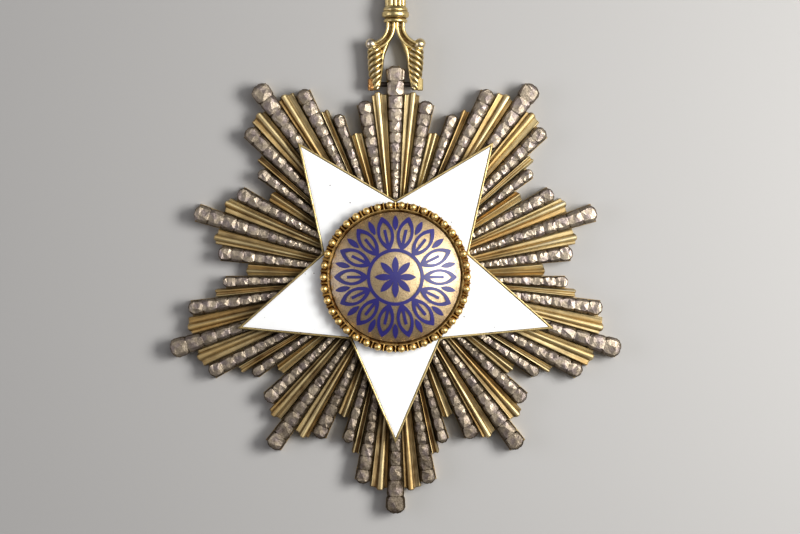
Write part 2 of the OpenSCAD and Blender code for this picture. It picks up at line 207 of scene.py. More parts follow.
# Front half of the loop's section, from the hole out: radius, height over the axis
LOOP_SECTION = [(LOOP_HOLE_R, 0.62), (2.66, 0.74), (2.80, LOOP_HALF), (3.20, LOOP_HALF), (3.42, 0.70),
                (3.55, 0.52), (LOOP_R, 0.3)]


def srgb(code):
    """Linear red, green, blue and alpha of an sRGB hex colour."""
    parts = [int(code[i:i + 2], 16) / 255 for i in (1, 3, 5)]
    return tuple(p / 12.92 if p <= 0.04045 else ((p + 0.055) / 1.055) ** 2.4 for p in parts) + (1.0,)


class InsigniaStar(bpy.types.PropertyGroup):
    """Sizes and colours of the rays and the enamel star."""
    pip_share: FloatProperty(name="Pip share", default=0.072, min=0.05, max=0.1, subtype="FACTOR",
                             description="Share of its radius that each pip takes along a ray")
    table_height: FloatProperty(name="Table height", default=3.2 * MM, unit="LENGTH", precision=5,
                                description="Height of the pips' tables above the back")
    hand: FloatProperty(name="Hand of the cutter", description="How much the facets differ from pip to pip",
                        default=0.72, min=0, max=2, subtype="FACTOR")
    silver: FloatVectorProperty(name="Silver", description="Polished facets", default=srgb("#B5A691"),
                                size=4, subtype="COLOR")
    # Tarnish of the silver, which also paints its shade in the creases, on steep faces and over the bottom
    # and upper left rays
    tarnish_and_shade: FloatVectorProperty(name="Tarnish", description="Dulled hollows of the silver",
                                 default=srgb("#4A3E2E"), size=4, subtype="COLOR")
    gilding: FloatVectorProperty(name="Gilding", description="Polished gilding", default=srgb("#DCC896"),
                                 size=4, subtype="COLOR")
    # Brown dirt of the gilding, which also paints its shade in the hollows, on steep faces and over the
    # bottom and upper left rays
    dirt: FloatVectorProperty(name="Dirt", description="Brown film in the hollows of the gilding",
                              default=srgb("#63492A"), size=4, subtype="COLOR")
    enamel: FloatVectorProperty(name="Enamel", description="White enamel of the star",
                                default=srgb("#F3F3F1"), size=4, subtype="COLOR")


class InsigniaMedallion(bpy.types.PropertyGroup):
    """Sizes and colours of the medallion."""
    beads: IntProperty(name="Beads", description="Number of beads round the bezel",
                       default=38, min=20, max=60)
    bead_radius: FloatProperty(name="Bead radius", description="Radius of a bead", default=0.54 * MM,
                               unit="LENGTH", precision=5)
    dome_rise: FloatProperty(name="Dome rise", description="Rise of the face from its edge to its crown",
                             default=2.6 * MM, unit="LENGTH", precision=5)
    ground: FloatVectorProperty(name="Ground", description="Gilt ground of the face",
                                default=srgb("#C7AE85"), size=4, subtype="COLOR")
    enamel: FloatVectorProperty(name="Enamel", description="Blue enamel of the ornament",
                                default=srgb("#26216B"), size=4, subtype="COLOR")


class InsigniaYoke(bpy.types.PropertyGroup):
    """Sizes of the yoke."""
    rope_radius: FloatProperty(name="Drop radius", description="Largest radius of a rope-twist drop",
                               default=1.27 * MM, unit="LENGTH", precision=5)
    strands: IntProperty(name="Strands", description="Strands twisted into a drop", default=5, min=2, max=8)
    lead: FloatProperty(name="Lead", description="Length in which a strand runs once round its drop",
                        default=4.4 * MM, unit="LENGTH", precision=5)
    reeds: IntProperty(name="Reeds", description="Reeds round the stem", default=12, min=6, max=24)


class InsigniaStage(bpy.types.PropertyGroup):
    """Floor and lights."""
    key: FloatProperty(name="Key light", description="Power of the softbox at the right",
                       default=0.5, unit="POWER")
    glint: FloatProperty(name="Glint", description="Power of the lamp that the dome mirrors",
                         default=0.42, unit="POWER")
    top: FloatProperty(name="Top light", description="Power of the softbox beside the camera",
                       default=0.11, unit="POWER")
    fill: FloatProperty(name="Fill light", description="Power of the softbox at the left",
                        default=0.6, unit="POWER")
    sky: FloatProperty(name="Room light", description="Strength of the light from the ceiling",
                       default=0.20, min=0, max=2)
    floor: FloatVectorProperty(name="Floor", description="Pale paper floor",
                               default=srgb("#A8A6A3"), size=4, subtype="COLOR")


def closed_mesh(name, points, faces):
    """Mesh in metres from bodies in millimetres, with every face turned outwards."""
    mesh = bpy.data.meshes.new(name)
    mesh.from_pydata((points * MM).tolist(), [], faces)
    work = bmesh.new()
    work.from_mesh(mesh)
    bmesh.ops.recalc_face_normals(work, faces=work.faces)
    work.to_mesh(mesh)
    work.free()
    return mesh


class Blank:
    """Metal or enamel still being shaped: points in millimetres, faces, and for each point how sheltered it
    is (0 on a crest, 1 in a hollow), which the metals paint as film and shade, and where it is along and
    across the work."""
    # How far up a face looks, from 0 to 1, above which it gets no painted shade and below which it gets it
    # in full
    FLAT_UNSHADED = 0.84
    STEEP_SHADED = 0.54

    def __init__(self):
        self.points = []
        self.faces = []
        self.hollow = []
        self.run = []

    def add(self, points, faces, hollow=0.0, run=None, turn=0.0, mirror=False):
        """Adds one closed body, turned about Z by degrees or mirrored in X."""
        points = np.array(points, float)
        run = points if run is None else np.array(run, float)
        if mirror:
            points = points * (-1, 1, 1)
        if turn:
            c, s = math.cos(math.radians(turn)), math.sin(math.radians(turn))
            points = points @ np.array([[c, s, 0], [-s, c, 0], [0, 0, 1]])
        start = sum(len(p) for p in self.points)
        self.points.append(points)
        self.faces += [tuple(start + i for i in f) for f in faces]
        self.hollow.append(np.broadcast_to(hollow, len(points)).astype(float))
        self.run.append(run)

    def piece(self, name, body, slot, finish, node, sharp=0, bevel=0.0, faceted=False):
        """Finishes the blank in a material as an object in metres, which rides on a body and stands for a
        CAD node. Edges steeper than sharp degrees stay sharp, and all do where it is 0. The faces of faceted
        work also say how far they lean, for the painted shade on their steep faces."""
        mesh = closed_mesh(name, np.concatenate(self.points), self.faces)
        hollow = mesh.attributes.new("hollow", "FLOAT", "POINT")
        hollow.data.foreach_set("value", np.concatenate(self.hollow))
        run = mesh.attributes.new("run", "FLOAT_VECTOR", "POINT")
        run.data.foreach_set("vector", (np.concatenate(self.run) * MM).ravel())
        if faceted:
            steep = mesh.attributes.new("steep", "FLOAT", "FACE")
            leans = [(self.FLAT_UNSHADED - face.normal.z) / (self.FLAT_UNSHADED - self.STEEP_SHADED) for face in mesh.polygons]
            steep.data.foreach_set("value", np.clip(leans, 0, 1))
        mesh.polygons.foreach_set("use_smooth", [sharp > 0] * len(mesh.polygons))
        if sharp:
            mesh.set_sharp_from_angle(angle=math.radians(sharp))
        mesh.materials.append(material(finish))
        piece = bpy.data.objects.new(name, mesh)
        bpy.context.scene.collection.objects.link(piece)
        if bevel:
            edge = piece.modifiers.new("worn edges", "BEVEL")
            edge.width = bevel * MM
            edge.segments = 1
            edge.limit_method = "ANGLE"
            edge.angle_limit = math.radians(24)
        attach(piece, body)
        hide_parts(node)
        return piece


def grid(rows, count, ring=True, hoop=False):
    """Faces between rows of points. A ring's rows each close on themselves, and a hoop's last row meets its
    first."""
    return [(i * count + j, i * count + (j + 1) % count,
             (i + 1) % rows * count + (j + 1) % count, (i + 1) % rows * count + j)
            for i in range(rows if hoop else rows - 1) for j in range(count if ring else count - 1)]


def strung(rings):
    """Body through a stack of rings with as many points each, its two ends closed."""
    rings = np.array(rings, float)
    m, n = rings.shape[:2]
    ends = [tuple(range(n)), tuple(range((m - 1) * n, m * n))]
    return rings.reshape(-1, 3), grid(m, n) + ends


def turned(profile, segments, hoop=False, axis="Z"):
    """Body turned on a lathe from (radius, height) points; a hoop's profile closes on itself."""
    angles = np.arange(segments) * 2 * math.pi / segments
    points, rows, faces = [], [], []
    for r, z in profile:
        count = segments if r > 0 else 1
        rows.append([len(points) + i for i in range(count)] if r > 0 else [len(points)] * segments)
        points += [(r * math.cos(a), r * math.sin(a), z) for a in angles[:count]]
    for low, high in zip(rows, rows[1:] + (rows[:1] if hoop else [])):
        for i in range(segments):
            j = (i + 1) % segments
            face = (low[i], low[j], high[j], high[i])
            faces.append(tuple(dict.fromkeys(face)))
    order = {"X": [2, 0, 1], "Y": [1, 2, 0], "Z": [0, 1, 2]}[axis]
    return np.array(points)[:, order], faces


def turned_in_relief(section, segments, axis="Z"):
    """Turned body and how sheltered its points are, from (radius, height, how sheltered) points."""
    points, faces = turned([(r, z) for r, z, hollow in section], segments, axis=axis)
    return points, faces, [hollow for r, z, hollow in section for _ in range(segments if r else 1)]


def ball(radius, rows, segments):
    """Ball turned about Z round its own middle."""
    arcs = [math.pi * i / rows for i in range(1, rows)]
    profile = [(radius * math.sin(a), -radius * math.cos(a)) for a in arcs]
    return turned([(0, -radius)] + profile + [(0, radius)], segments)


def polar(r, angle):
    """Point in the star's plane at a radius and an angle in radians."""
    return Vector((r * math.cos(angle), r * math.sin(angle)))


def unevenness(x, y, size, seed=0.0):
    """Smooth value from -1 to 1 that changes over size millimetres, as hand work does."""
    return noise.noise(Vector((x / size, y / size, seed)))


def places(offset):
    """Angles in degrees at which the rays of an offset stand round the star."""
    sides = [1] if offset in (0, CLUSTER / 2) else [-1, 1]
    return [FIRST_CLUSTER + CLUSTER * k + side * offset for k in range(5) for side in sides]


def star_edge(offset):
    """Radius of the enamel star's edge at an angle in degrees from the middle of a point."""
    return POINT_R * math.sin(POINT_HALF) / math.sin(POINT_HALF + math.radians(offset))


def side_shade(a, low, left):
    """Share of painted shade on the ray at an angle in degrees, away from the light: up to low on the bottom
    rays, up to left on the upper left ones, and none on the upper right ones."""
    below = max(0, math.cos(math.radians(a - SHADED_BELOW))) ** 1.7
    beside = max(0, math.cos(math.radians(a - SHADED_LEFT)))
    return low * below + left * beside


def add(tree, kind, inputs=None, **settings):
    """Adds a node with its settings, links the inputs given as sockets and fills the others."""
    made = tree.nodes.new(kind)
    for key, value in settings.items():
        setattr(made, key, value)
    for key, value in (inputs or {}).items():
        if isinstance(value, bpy.types.NodeSocket):
            tree.links.new(value, made.inputs[key])
        else:
            made.inputs[key].default_value = value
    return made


def blank_material(name):
    """New node material with its shader and output."""
    surface = bpy.data.materials.new(name)
    surface.use_nodes = True
    tree = surface.node_tree
    tree.nodes.clear()
    shader = add(tree, "ShaderNodeBsdfPrincipled")
    add(tree, "ShaderNodeOutputMaterial", {"Surface": shader.outputs["BSDF"]})
    return surface, tree, shader


def metal(name, bright, dark, polish, dull, patch_mm, streak=(1.0, 1.0, 1.0), cover=0.85, grain=0.05,
          fleck=1.0, worn=None, tint=None):
    """Bright metal under a dark film, polish and dull being the roughness of the two. The dark lies in the
    hollows, by cover, as film and painted shade, on steep faces as painted shade, and in patches as film.
    Fine marks follow
    the work, drawn out by streak: fleck says how much they change the film, and grain how deep they are in
    millimetres. Worn, if given, is the bare metal that shows on the crests, and tint a second hue in clouds."""
    surface, tree, shader = blank_material(name)
    hollow = add(tree, "ShaderNodeAttribute", attribute_name="hollow").outputs["Fac"]
    steep = add(tree, "ShaderNodeAttribute", attribute_name="steep").outputs["Fac"]
    run = add(tree, "ShaderNodeAttribute", attribute_name="run").outputs["Vector"]
    along = add(tree, "ShaderNodeVectorMath", {0: run, 1: streak}, operation="MULTIPLY").outputs["Vector"]
    where = add(tree, "ShaderNodeTexCoord").outputs["Object"]
    # Patches as wide as patch_mm, and marks of about a third of a millimetre, about the finest that show
    patches = add(tree, "ShaderNodeTexNoise", {"Vector": where, "Scale": 1 / (patch_mm * MM), "Detail": 5.0,
                                               "Roughness": 0.62}).outputs["Fac"]
    marks = add(tree, "ShaderNodeTexNoise", {"Vector": along, "Scale": 1 / (0.35 * MM), "Detail": 3.0,
                                             "Roughness": 0.6}).outputs["Fac"]
    spread = add(tree, "ShaderNodeMapRange", {"Value": patches, "From Min": 0.36, "From Max": 0.68,
                                              "To Min": -0.16, "To Max": 0.34}).outputs["Result"]
    streaks = add(tree, "ShaderNodeMapRange", {
        "Value": marks, "From Min": 0.3, "From Max": 0.7,
        "To Min": -0.16 * fleck, "To Max": 0.20 * fleck}).outputs["Result"]
    # Film and painted shade in the hollows, and film in patches, then painted shade on the steep faces, then
    # the marks
    film_and_shade = add(tree, "ShaderNodeMath", {0: hollow, 1: cover, 2: spread}, operation="MULTIPLY_ADD").outputs[0]
    film_and_shade = add(tree, "ShaderNodeMath", {0: steep, 1: 0.42, 2: film_and_shade}, operation="MULTIPLY_ADD").outputs[0]
    film_and_shade = add(tree, "ShaderNodeMath", {0: film_and_shade, 1: streaks}, operation="ADD").outputs[0]
    thick = add(tree, "ShaderNodeMapRange", {"Value": film_and_shade}).outputs["Result"]
    base = bright
    if worn:
        bare = add(tree, "ShaderNodeMapRange", {"Value": film_and_shade, "From Min": -0.06, "From Max": -0.30})
        bare = bare.outputs["Result"]
        base = add(tree, "ShaderNodeMix", {0: bare, 6: bright, 7: worn}, data_type="RGBA").outputs[2]
    if tint:
        drift = add(tree, "ShaderNodeTexNoise", {"Vector": along, "Scale": 1 / (2.2 * MM), "Detail": 2.0})
        drift = drift.outputs["Fac"]
        drift = add(tree, "ShaderNodeMapRange", {"Value": drift, "From Min": 0.46, "From Max": 0.62})
        drift = drift.outputs["Result"]
        base = add(tree, "ShaderNodeMix", {0: drift, 6: base, 7: tint}, data_type="RGBA").outputs[2]
    colour = add(tree, "ShaderNodeMix", {0: thick, 6: base, 7: dark}, data_type="RGBA").outputs[2]
    rough = add(tree, "ShaderNodeMapRange", {"Value": film_and_shade, "To Min": polish, "To Max": dull})
    bump = add(tree, "ShaderNodeBump", {"Height": marks, "Strength": 0.5, "Distance": grain * MM})
    tree.links.new(colour, shader.inputs["Base Color"])
    tree.links.new(rough.outputs["Result"], shader.inputs["Roughness"])
    tree.links.new(bump.outputs["Normal"], shader.inputs["Normal"])
    shader.inputs["Metallic"].default_value = 1.0
    return surface


def fired_enamel(name, colour, shade, rough, speck_mm=0.0):
    """Opaque glass fused on metal: deep even colour under a wet gloss, with a slightly uneven skin."""
    surface, tree, shader = blank_material(name)
    where = add(tree, "ShaderNodeTexCoord").outputs["Object"]
    cloud = add(tree, "ShaderNodeTexNoise", {"Vector": where, "Scale": 1 / (4 * MM), "Detail": 2.0})
    cloud = cloud.outputs["Fac"]
    tone = add(tree, "ShaderNodeMapRange", {"Value": cloud, "From Min": 0.35, "From Max": 0.7})
    tone = tone.outputs["Result"]
    base = add(tree, "ShaderNodeMix", {0: tone, 6: colour, 7: shade}, data_type="RGBA").outputs[2]
    if speck_mm:
        # Pinholes where gas left the glass, dark with old dirt: a few on each point, up to 0.2 mm wide
        cells = add(tree, "ShaderNodeTexVoronoi", {"Vector": where, "Scale": 1 / (speck_mm * MM)})
        hole = add(tree, "ShaderNodeMapRange", {
            "Value": cells.outputs["Distance"], "From Min": 0.04, "From Max": 0.08,
            "To Min": 1.0, "To Max": 0.0}).outputs["Result"]
        some = add(tree, "ShaderNodeSeparateColor", {"Color": cells.outputs["Color"]}).outputs["Red"]
        few = add(tree, "ShaderNodeMath", {0: some, 1: 0.45}, operation="GREATER_THAN").outputs[0]
        dirt = add(tree, "ShaderNodeMath", {0: hole, 1: few}, operation="MULTIPLY").outputs[0]
        grey = srgb("#57544F")
        base = add(tree, "ShaderNodeMix", {0: dirt, 6: base, 7: grey}, data_type="RGBA").outputs[2]
    ripple = add(tree, "ShaderNodeTexNoise", {"Vector": where, "Scale": 1 / (1.6 * MM), "Detail": 1.0})
    bump = add(tree, "ShaderNodeBump", {"Height": ripple.outputs["Fac"], "Strength": 0.25,
                                        "Distance": 0.03 * MM})
    tree.links.new(base, shader.inputs["Base Color"])
    tree.links.new(bump.outputs["Normal"], shader.inputs["Normal"])
    shader.inputs["Roughness"].default_value = rough
    shader.inputs["IOR"].default_value = 1.52
    return surface


def cut_silver(name):
    """Silver cut with a steel graver."""
    # Each facet mirrors one patch of the room, under a thin grey-brown film of tarnish and painted shade
    star = bpy.context.scene.insignia_star
    return metal(name, star.silver[:], star.tarnish_and_shade[:], polish=0.42, dull=0.58, patch_mm=2.6, cover=0.57,
                 streak=(1.6, 1.6, 1.6), grain=0.1, fleck=1.5, tint=srgb("#9E9089"))


def struck_gilding(name):
    """Silver struck in a die and fire-gilt."""
    # A warm half gloss, drawn lengthwise by years of wiping
    star = bpy.context.scene.insignia_star
    return metal(name, star.gilding[:], star.dirt[:], polish=0.50, dull=0.62, patch_mm=5.0, cover=0.6,
                 streak=(0.12, 1.6, 1.0), worn=srgb("#DDD3B8"), tint=srgb("#D6B374"))


def cast_gilding(name):
    """Silver cast, chased and fire-gilt."""
    # Bright on its crests, where the metal under the gilding shows, and brown in its grooves with dirt and
    # painted shade
    return metal(name, srgb("#E9D090"), srgb("#5A4222"), polish=0.32, dull=0.50, patch_mm=3.0, grain=0.02,
                 worn=srgb("#DDD3C8"))


def fire_gilding(name):
    """Gilding burnished on the crowns of the beads."""
    # Deep yellow, with dark brown dirt and painted shade in the channel between the beads
    return metal(name, srgb("#F8D386"), srgb("#502C0A"), polish=0.38, dull=0.52, patch_mm=2.0, cover=1.0,
                 grain=0.02)


def reddened_gilding(name):
    """Gilding worn down to copper-rich solder."""
    # Orange, with brown spots
    return metal(name, srgb("#E2A968"), srgb("#3E2412"), polish=0.36, dull=0.60, patch_mm=0.3, cover=0.9,
                 grain=0.3, fleck=2.2)


def gilt_ground(name):
    """Raised sheet, gilt and stippled, under a clear glaze."""
    # A soft gold with brown clouds, painted shade at its edge and a wet highlight
    gold = bpy.context.scene.insignia_medallion.ground[:]
    ground = metal(name, gold, srgb("#776048"), polish=0.42, dull=0.55, patch_mm=1.8, cover=0.9,
                   streak=(1.8, 1.8, 1.8), grain=0.12, fleck=2.4)
    shader = next(n for n in ground.node_tree.nodes if n.type == "BSDF_PRINCIPLED")
    shader.inputs["Coat Weight"].default_value = 1.0
    shader.inputs["Coat Roughness"].default_value = 0.2
    return ground


def white_enamel(name):
    """Opaque white glass, fired in the cells and polished."""
    # Clean, with a sharp gloss and a few dark pinholes
    white = bpy.context.scene.insignia_star.enamel[:]
    return fired_enamel(name, white, shade=srgb("#ECECEA"), rough=0.10, speck_mm=1.5)


def blue_enamel(name):
    """Opaque dark blue glass, fired in thin raised lines."""
    # Its small rounded lines mirror the lamps only softly
    blue = bpy.context.scene.insignia_medallion.enamel[:]
    return fired_enamel(name, blue, shade=srgb("#211C60"), rough=0.45)


def shaded_silver(name):
    """Silver painted near black as the shade it lies in."""
    # Near black as painted shade, with a dull sheen
    return metal(name, srgb("#4A4038"), srgb("#1D1815"), polish=0.45, dull=0.62, patch_mm=1.5)


MATERIALS = {
    "cut silver": cut_silver, "struck gilding": struck_gilding, "cast gilding": cast_gilding,
    "fire gilding": fire_gilding, "reddened gilding": reddened_gilding, "gilt ground": gilt_ground,
    "white enamel": white_enamel, "blue enamel": blue_enamel, "shaded silver": shaded_silver,
}


def material(name):
    """One of the badge's materials, made when it is first asked for."""
    return bpy.data.materials.get(name) or MATERIALS[name](name)


def gilt_ray(half, tip, section, seed, skew):
    """Gilt ray along +X as points, faces and hollows: ribbed top, ends cut back from the ridge, flat foot.
    Skew moves the ridge off the middle by a share of the half width."""
    full = section + [(-share, z, back, hollow) for share, z, back, hollow in section[-2::-1]]
    width = math.tan(math.radians(half))
    n, m = len(full), len(GILT_STATIONS)
    points, hollows = [], []
    for i, s in enumerate(GILT_STATIONS):
        last = i == m - 1
        for share, z, back, hollow in full:
            x = GILT_START_R + (tip - back - GILT_START_R) * s
            sway = 0.02 * unevenness(x, 0, 4, seed)
            drop = 0.1 * (z - GILT_FOOT) if last else 0.0
            lift = 0.025 * unevenness(x, share, 3, seed + 7) if z > RIBS_Z else 0
            v = (share + skew * (1 - share * share)) * (0.97 if last else 1.0)
            points.append((x, v * x * width + sway, z - drop + lift))
            hollows.append(hollow * 0.6 if last else hollow)
    faces = grid(m, n, ring=False)
    # The wall at the tip stands on feet below the last section's inner points
    right, left = (m - 1) * n, m * n - 1
    feet = list(range(len(points), len(points) + n - 2))
    for x, y, z in points[right + 1:left]:
        points.append((x, y, GILT_FOOT))
        hollows.append(1.0)
    base = [right] + feet + [left]
    faces += [(right + j, right + j + 1, base[j + 1], base[j]) for j in range(1, n - 2)]
    faces += [(right, right + 1, feet[0]), (left - 1, left, feet[-1])]
    faces.append(tuple(range(n)))
    faces.append((*range(0, right + 1, n), *feet, *range(left, 0, -n)))
    return points, faces, hollows


def back_plate():
    """Gilt plate cut to the rays' outline, with a hole for the rivet and a sunk seat for its head."""
    rays = sorted((a % 360, half, share) for offset, half, share in SILVER_RAYS + GILT_RAYS
                  for a in places(offset))
    edge = [(STAR_R * share - PLATE_INSET) / math.cos(math.radians(half)) for a, half, share in rays]
    edge = np.repeat(edge, 2)
    angles = np.radians([a + side * (half - 0.02) for a, half, share in rays for side in (-1, 1)])
    hole, seat, seat_z = POST_R + GAP, HEAD_R + GAP, HEAD_T + GAP
    # Rings from the hole over the seat, the back and the edge, with its two chamfers, to the hole's front
    levels = [(hole, seat_z), (seat, seat_z), (seat, 0), (edge - 0.08, 0), (edge, 0.1),
              (edge, PLATE_T - 0.1), (edge - 0.08, PLATE_T), (hole, PLATE_T)]
    rings = [np.stack([r * np.cos(angles), r * np.sin(angles), np.full(len(edge), z)], 1)
             for r, z in levels]
    return np.concatenate(rings), grid(len(rings), len(edge), hoop=True)


class INSIGNIA_OT_gilt_star(bpy.types.Operator):
    """Back plate with its forty ribbed gilt rays"""
    bl_idname = "insignia.gilt_star"
    bl_label = "Gilt star"

    def execute(self, context):
        star = Blank()
        points, faces = back_plate()
        # The plate is bright behind and has painted shade in the gaps between the rays
        star.add(points, faces, hollow=np.where(points[:, 2] > PLATE_T - 0.2, 1.0, 0.25))
        for k, ((offset, half, share), section) in enumerate(zip(GILT_RAYS, GILT_SECTIONS)):
            for a in places(offset):
                skew = RIDGE_SKEW if (a - FIRST_CLUSTER) % CLUSTER > CLUSTER / 2 else -RIDGE_SKEW
                points, faces, hollows = gilt_ray(half * 0.97, STAR_R * share, section, a + 31 * k, skew)
                # Dirt and painted shade in the hollows, and painted shade over the bottom and upper left
                # rays
                film_and_shade = np.array(hollows) + side_shade(a, 0.7, 0.33)
                star.add(points, faces, film_and_shade, run=np.array(points) + (0, a, 0), turn=a)
        star.piece("gilt_star_struck", "badge", "gilt", "struck gilding", "gilt_star", sharp=24)
        return {"FINISHED"}


def pip_valleys(r0, tip, share):
    """Radii of the valleys between pips, from r0 out to the tip."""
    count = max(1, round(math.log(r0 / tip) / math.log(1 - share)))
    return [tip * (r0 / tip) ** (k / count) for k in range(count, -1, -1)]


def cut_ray(radii, half, low, high, hand, seed, round_end=True, flare=0.0):
    """Silver ray along +X cut into pips between the radii, as points, faces and hollows. Each pip has a long
    table at the height high, broken by hand into tilted facets, a crown of slanting ones round it and steep
    sides down to low; a crease and a notch at each side part it from the next. A flare widens the ray's
    end."""
    dice = random.Random(seed)
    points, hollows, faces = [], [], []
    slope = math.tan(math.radians(half))
    broad = dice.uniform(0.54, 0.70)

    def put(mid, pitch, u, v, z, hollow, loose=1.0):
        """Point at u along the pip (-0.5 to 0.5) and v across the ray (-1 to 1), as a hand would put it."""
        x = min(mid + (u + dice.uniform(-0.03, 0.03) * hand * loose) * pitch, radii[-1])
        v += dice.uniform(-0.07, 0.07) * hand * loose if abs(v) < 0.85 else 0
        spread = flare * min(max((x - radii[-3]) / (radii[-1] - radii[-3]) * 1.6, 0), 1) if flare else 0
        z += dice.uniform(-0.09, 0.07) * hand * loose
        points.append((x, v * (x * slope - SIDE_GAP + spread), z))
        hollows.append(hollow)
        return len(points) - 1

    def joint(x, pitch):
        """Crease across the ray, from its left side to its right."""
        left = [(0.88, low, 0.6), (0.78, high - 0.42, 0.5), (broad * 0.72, high - 0.08, 0.2)]
        right = [(-v, z, hollow) for v, z, hollow in reversed(left)]
        return [put(x, pitch, 0, v, z, hollow, 0.4) for v, z, hollow in left + right]

    def meet(row, side, edge, crown, girdle):
        """Facets that fall from one end of a pip into a crease, on one side."""
        outer, under, inner = row[:3] if side == 1 else row[:2:-1]
        return [(inner, edge, crown), (inner, crown, under), (under, crown, girdle), (under, girdle, outer)]

    row = joint(radii[0], radii[1] - radii[0])
    start = row
    sides = {1: [row[0]], -1: [row[-1]]}
    for k, (r0, r1) in enumerate(zip(radii, radii[1:])):
        last = round_end and k == len(radii) - 2
        pitch, mid = r1 - r0, (r0 + r1) / 2
        wide = broad + dice.uniform(-0.06, 0.08) + 0.08 * last
        lean = dice.uniform(-0.10, 0.10) * hand
        rear, front = (put(mid, pitch, u, dice.uniform(-0.3, 0.3), high + dice.uniform(-0.01, 0.07), 0.0)
                       for u in (-0.20, 0.17))
        edges, crowns, girdles = {}, {}, {}
        for side in (1, -1):
            tilt = side * lean - 0.05
            t = [put(mid, pitch, u, side * v * wide, high + tilt * v * wide - 0.04, 0.0)
                 for u, v in (TIP_TABLE if last else PIP_TABLE)]
            b = [put(mid, pitch, u, side * v, high + tilt * v - 0.25, 0.2, 0.6)
                 for u, v in (TIP_CROWN if last else PIP_CROWN)]
            e = [put(mid, pitch, u, side, low + 0.16, 0.4, 0.2)
                 for u in (TIP_GIRDLE if last else PIP_GIRDLE)]
            faces += [(rear, t[0], t[1]), (rear, t[1], t[2]), (front, rear, t[2]), (front, t[2], t[3]),
                      (front, t[3], t[4])]
            faces += [(t[i], t[i + 1], b[i]) for i in range(4)]
            faces += [(t[i + 1], b[i + 1], b[i]) for i in range(3)]
            faces += [(b[0], b[1], e[0]), (b[1], e[1], e[0]), (b[1], b[2], e[1]), (b[2], b[3], e[1])]
            faces += meet(row, side, t[0], b[0], e[0])
            sides[side] += e
            edges[side], crowns[side], girdles[side] = t, b, e
        faces += [(rear, edges[1][0], edges[-1][0]), (front, edges[1][4], edges[-1][4])]
        faces.append((row[2], row[3], edges[-1][0], edges[1][0]))
        if last:
            # The outermost pip ends in a half round, with a shallow nick in its middle
            nose = put(mid, pitch, 0.475, 0.0, low + 0.24, 0.4, 0.2)
            brows = {}
            for side in (1, -1):
                t, b, e = edges[side], crowns[side], girdles[side]
                brow = put(mid, pitch, 0.42, side * 0.30, high - 0.2, 0.15, 0.5)
                bow = [put(mid, pitch, u, side * v, low + z, 0.4, 0.25) for u, v, z in TIP_BOW]
                faces += [(t[4], brow, b[3]), (b[3], bow[0], e[1]), (b[3], bow[1], bow[0]),
                          (b[3], brow, bow[1]), (brow, bow[2], bow[1]), (brow, nose, bow[2])]
                sides[side] += bow
                brows[side] = brow
            faces += [(edges[1][4], edges[-1][4], brows[-1], brows[1]), (brows[1], brows[-1], nose)]
            row = [sides[1][-1], nose, sides[-1][-1]]
        else:
            row = joint(r1, pitch)
            for side in (1, -1):
                faces += meet(row, side, edges[side][4], crowns[side][3], girdles[side][1])
                sides[side].append(row[0 if side == 1 else -1])
            faces.append((row[2], row[3], edges[-1][4], edges[1][4]))
    # Walls down to the foot, round the sides and both ends
    feet = {}
    for i in sides[1] + sides[-1] + row[1:-1]:
        x, y, z = points[i]
        points.append((x, y, SILVER_Z))
        hollows.append(0.7)
        feet[i] = len(points) - 1
    for wall in (sides[1], sides[-1], row):
        faces += [(a, b, feet[b], feet[a]) for a, b in zip(wall, wall[1:])]
    faces.append((*start, feet[start[-1]], feet[start[0]]))
    faces.append(tuple(feet[i] for i in (*sides[1], *row[1:-1], *reversed(sides[-1]))))
    return points, faces, hollows


def link(inner, half):
    """Bar under a silver ray that joins it to the hub, let into both."""
    width = math.tan(math.radians(half)) * 0.88
    corners = [(1, SILVER_Z), (1, LINK_TOP), (-1, LINK_TOP), (-1, SILVER_Z)]
    return strung([[(x, side * x * width, z) for side, z in corners] for x in (HUB_R - 1, inner + 0.3)])


def drill(piece, body, where):
    """Cuts a body out of a piece and removes the tool."""
    points, faces = body
    tool = bpy.data.objects.new("drill", closed_mesh("drill", points + where, faces))
    bpy.context.scene.collection.objects.link(tool)
    cut = piece.modifiers.new("bore", "BOOLEAN")
    cut.operation = "DIFFERENCE"
    cut.solver = "EXACT"
    cut.object = tool
    bpy.context.view_layer.update()
    drilled = bpy.data.meshes.new_from_object(piece.evaluated_get(bpy.context.evaluated_depsgraph_get()))
    piece.modifiers.clear()
    piece.data = drilled
    bpy.data.objects.remove(tool)


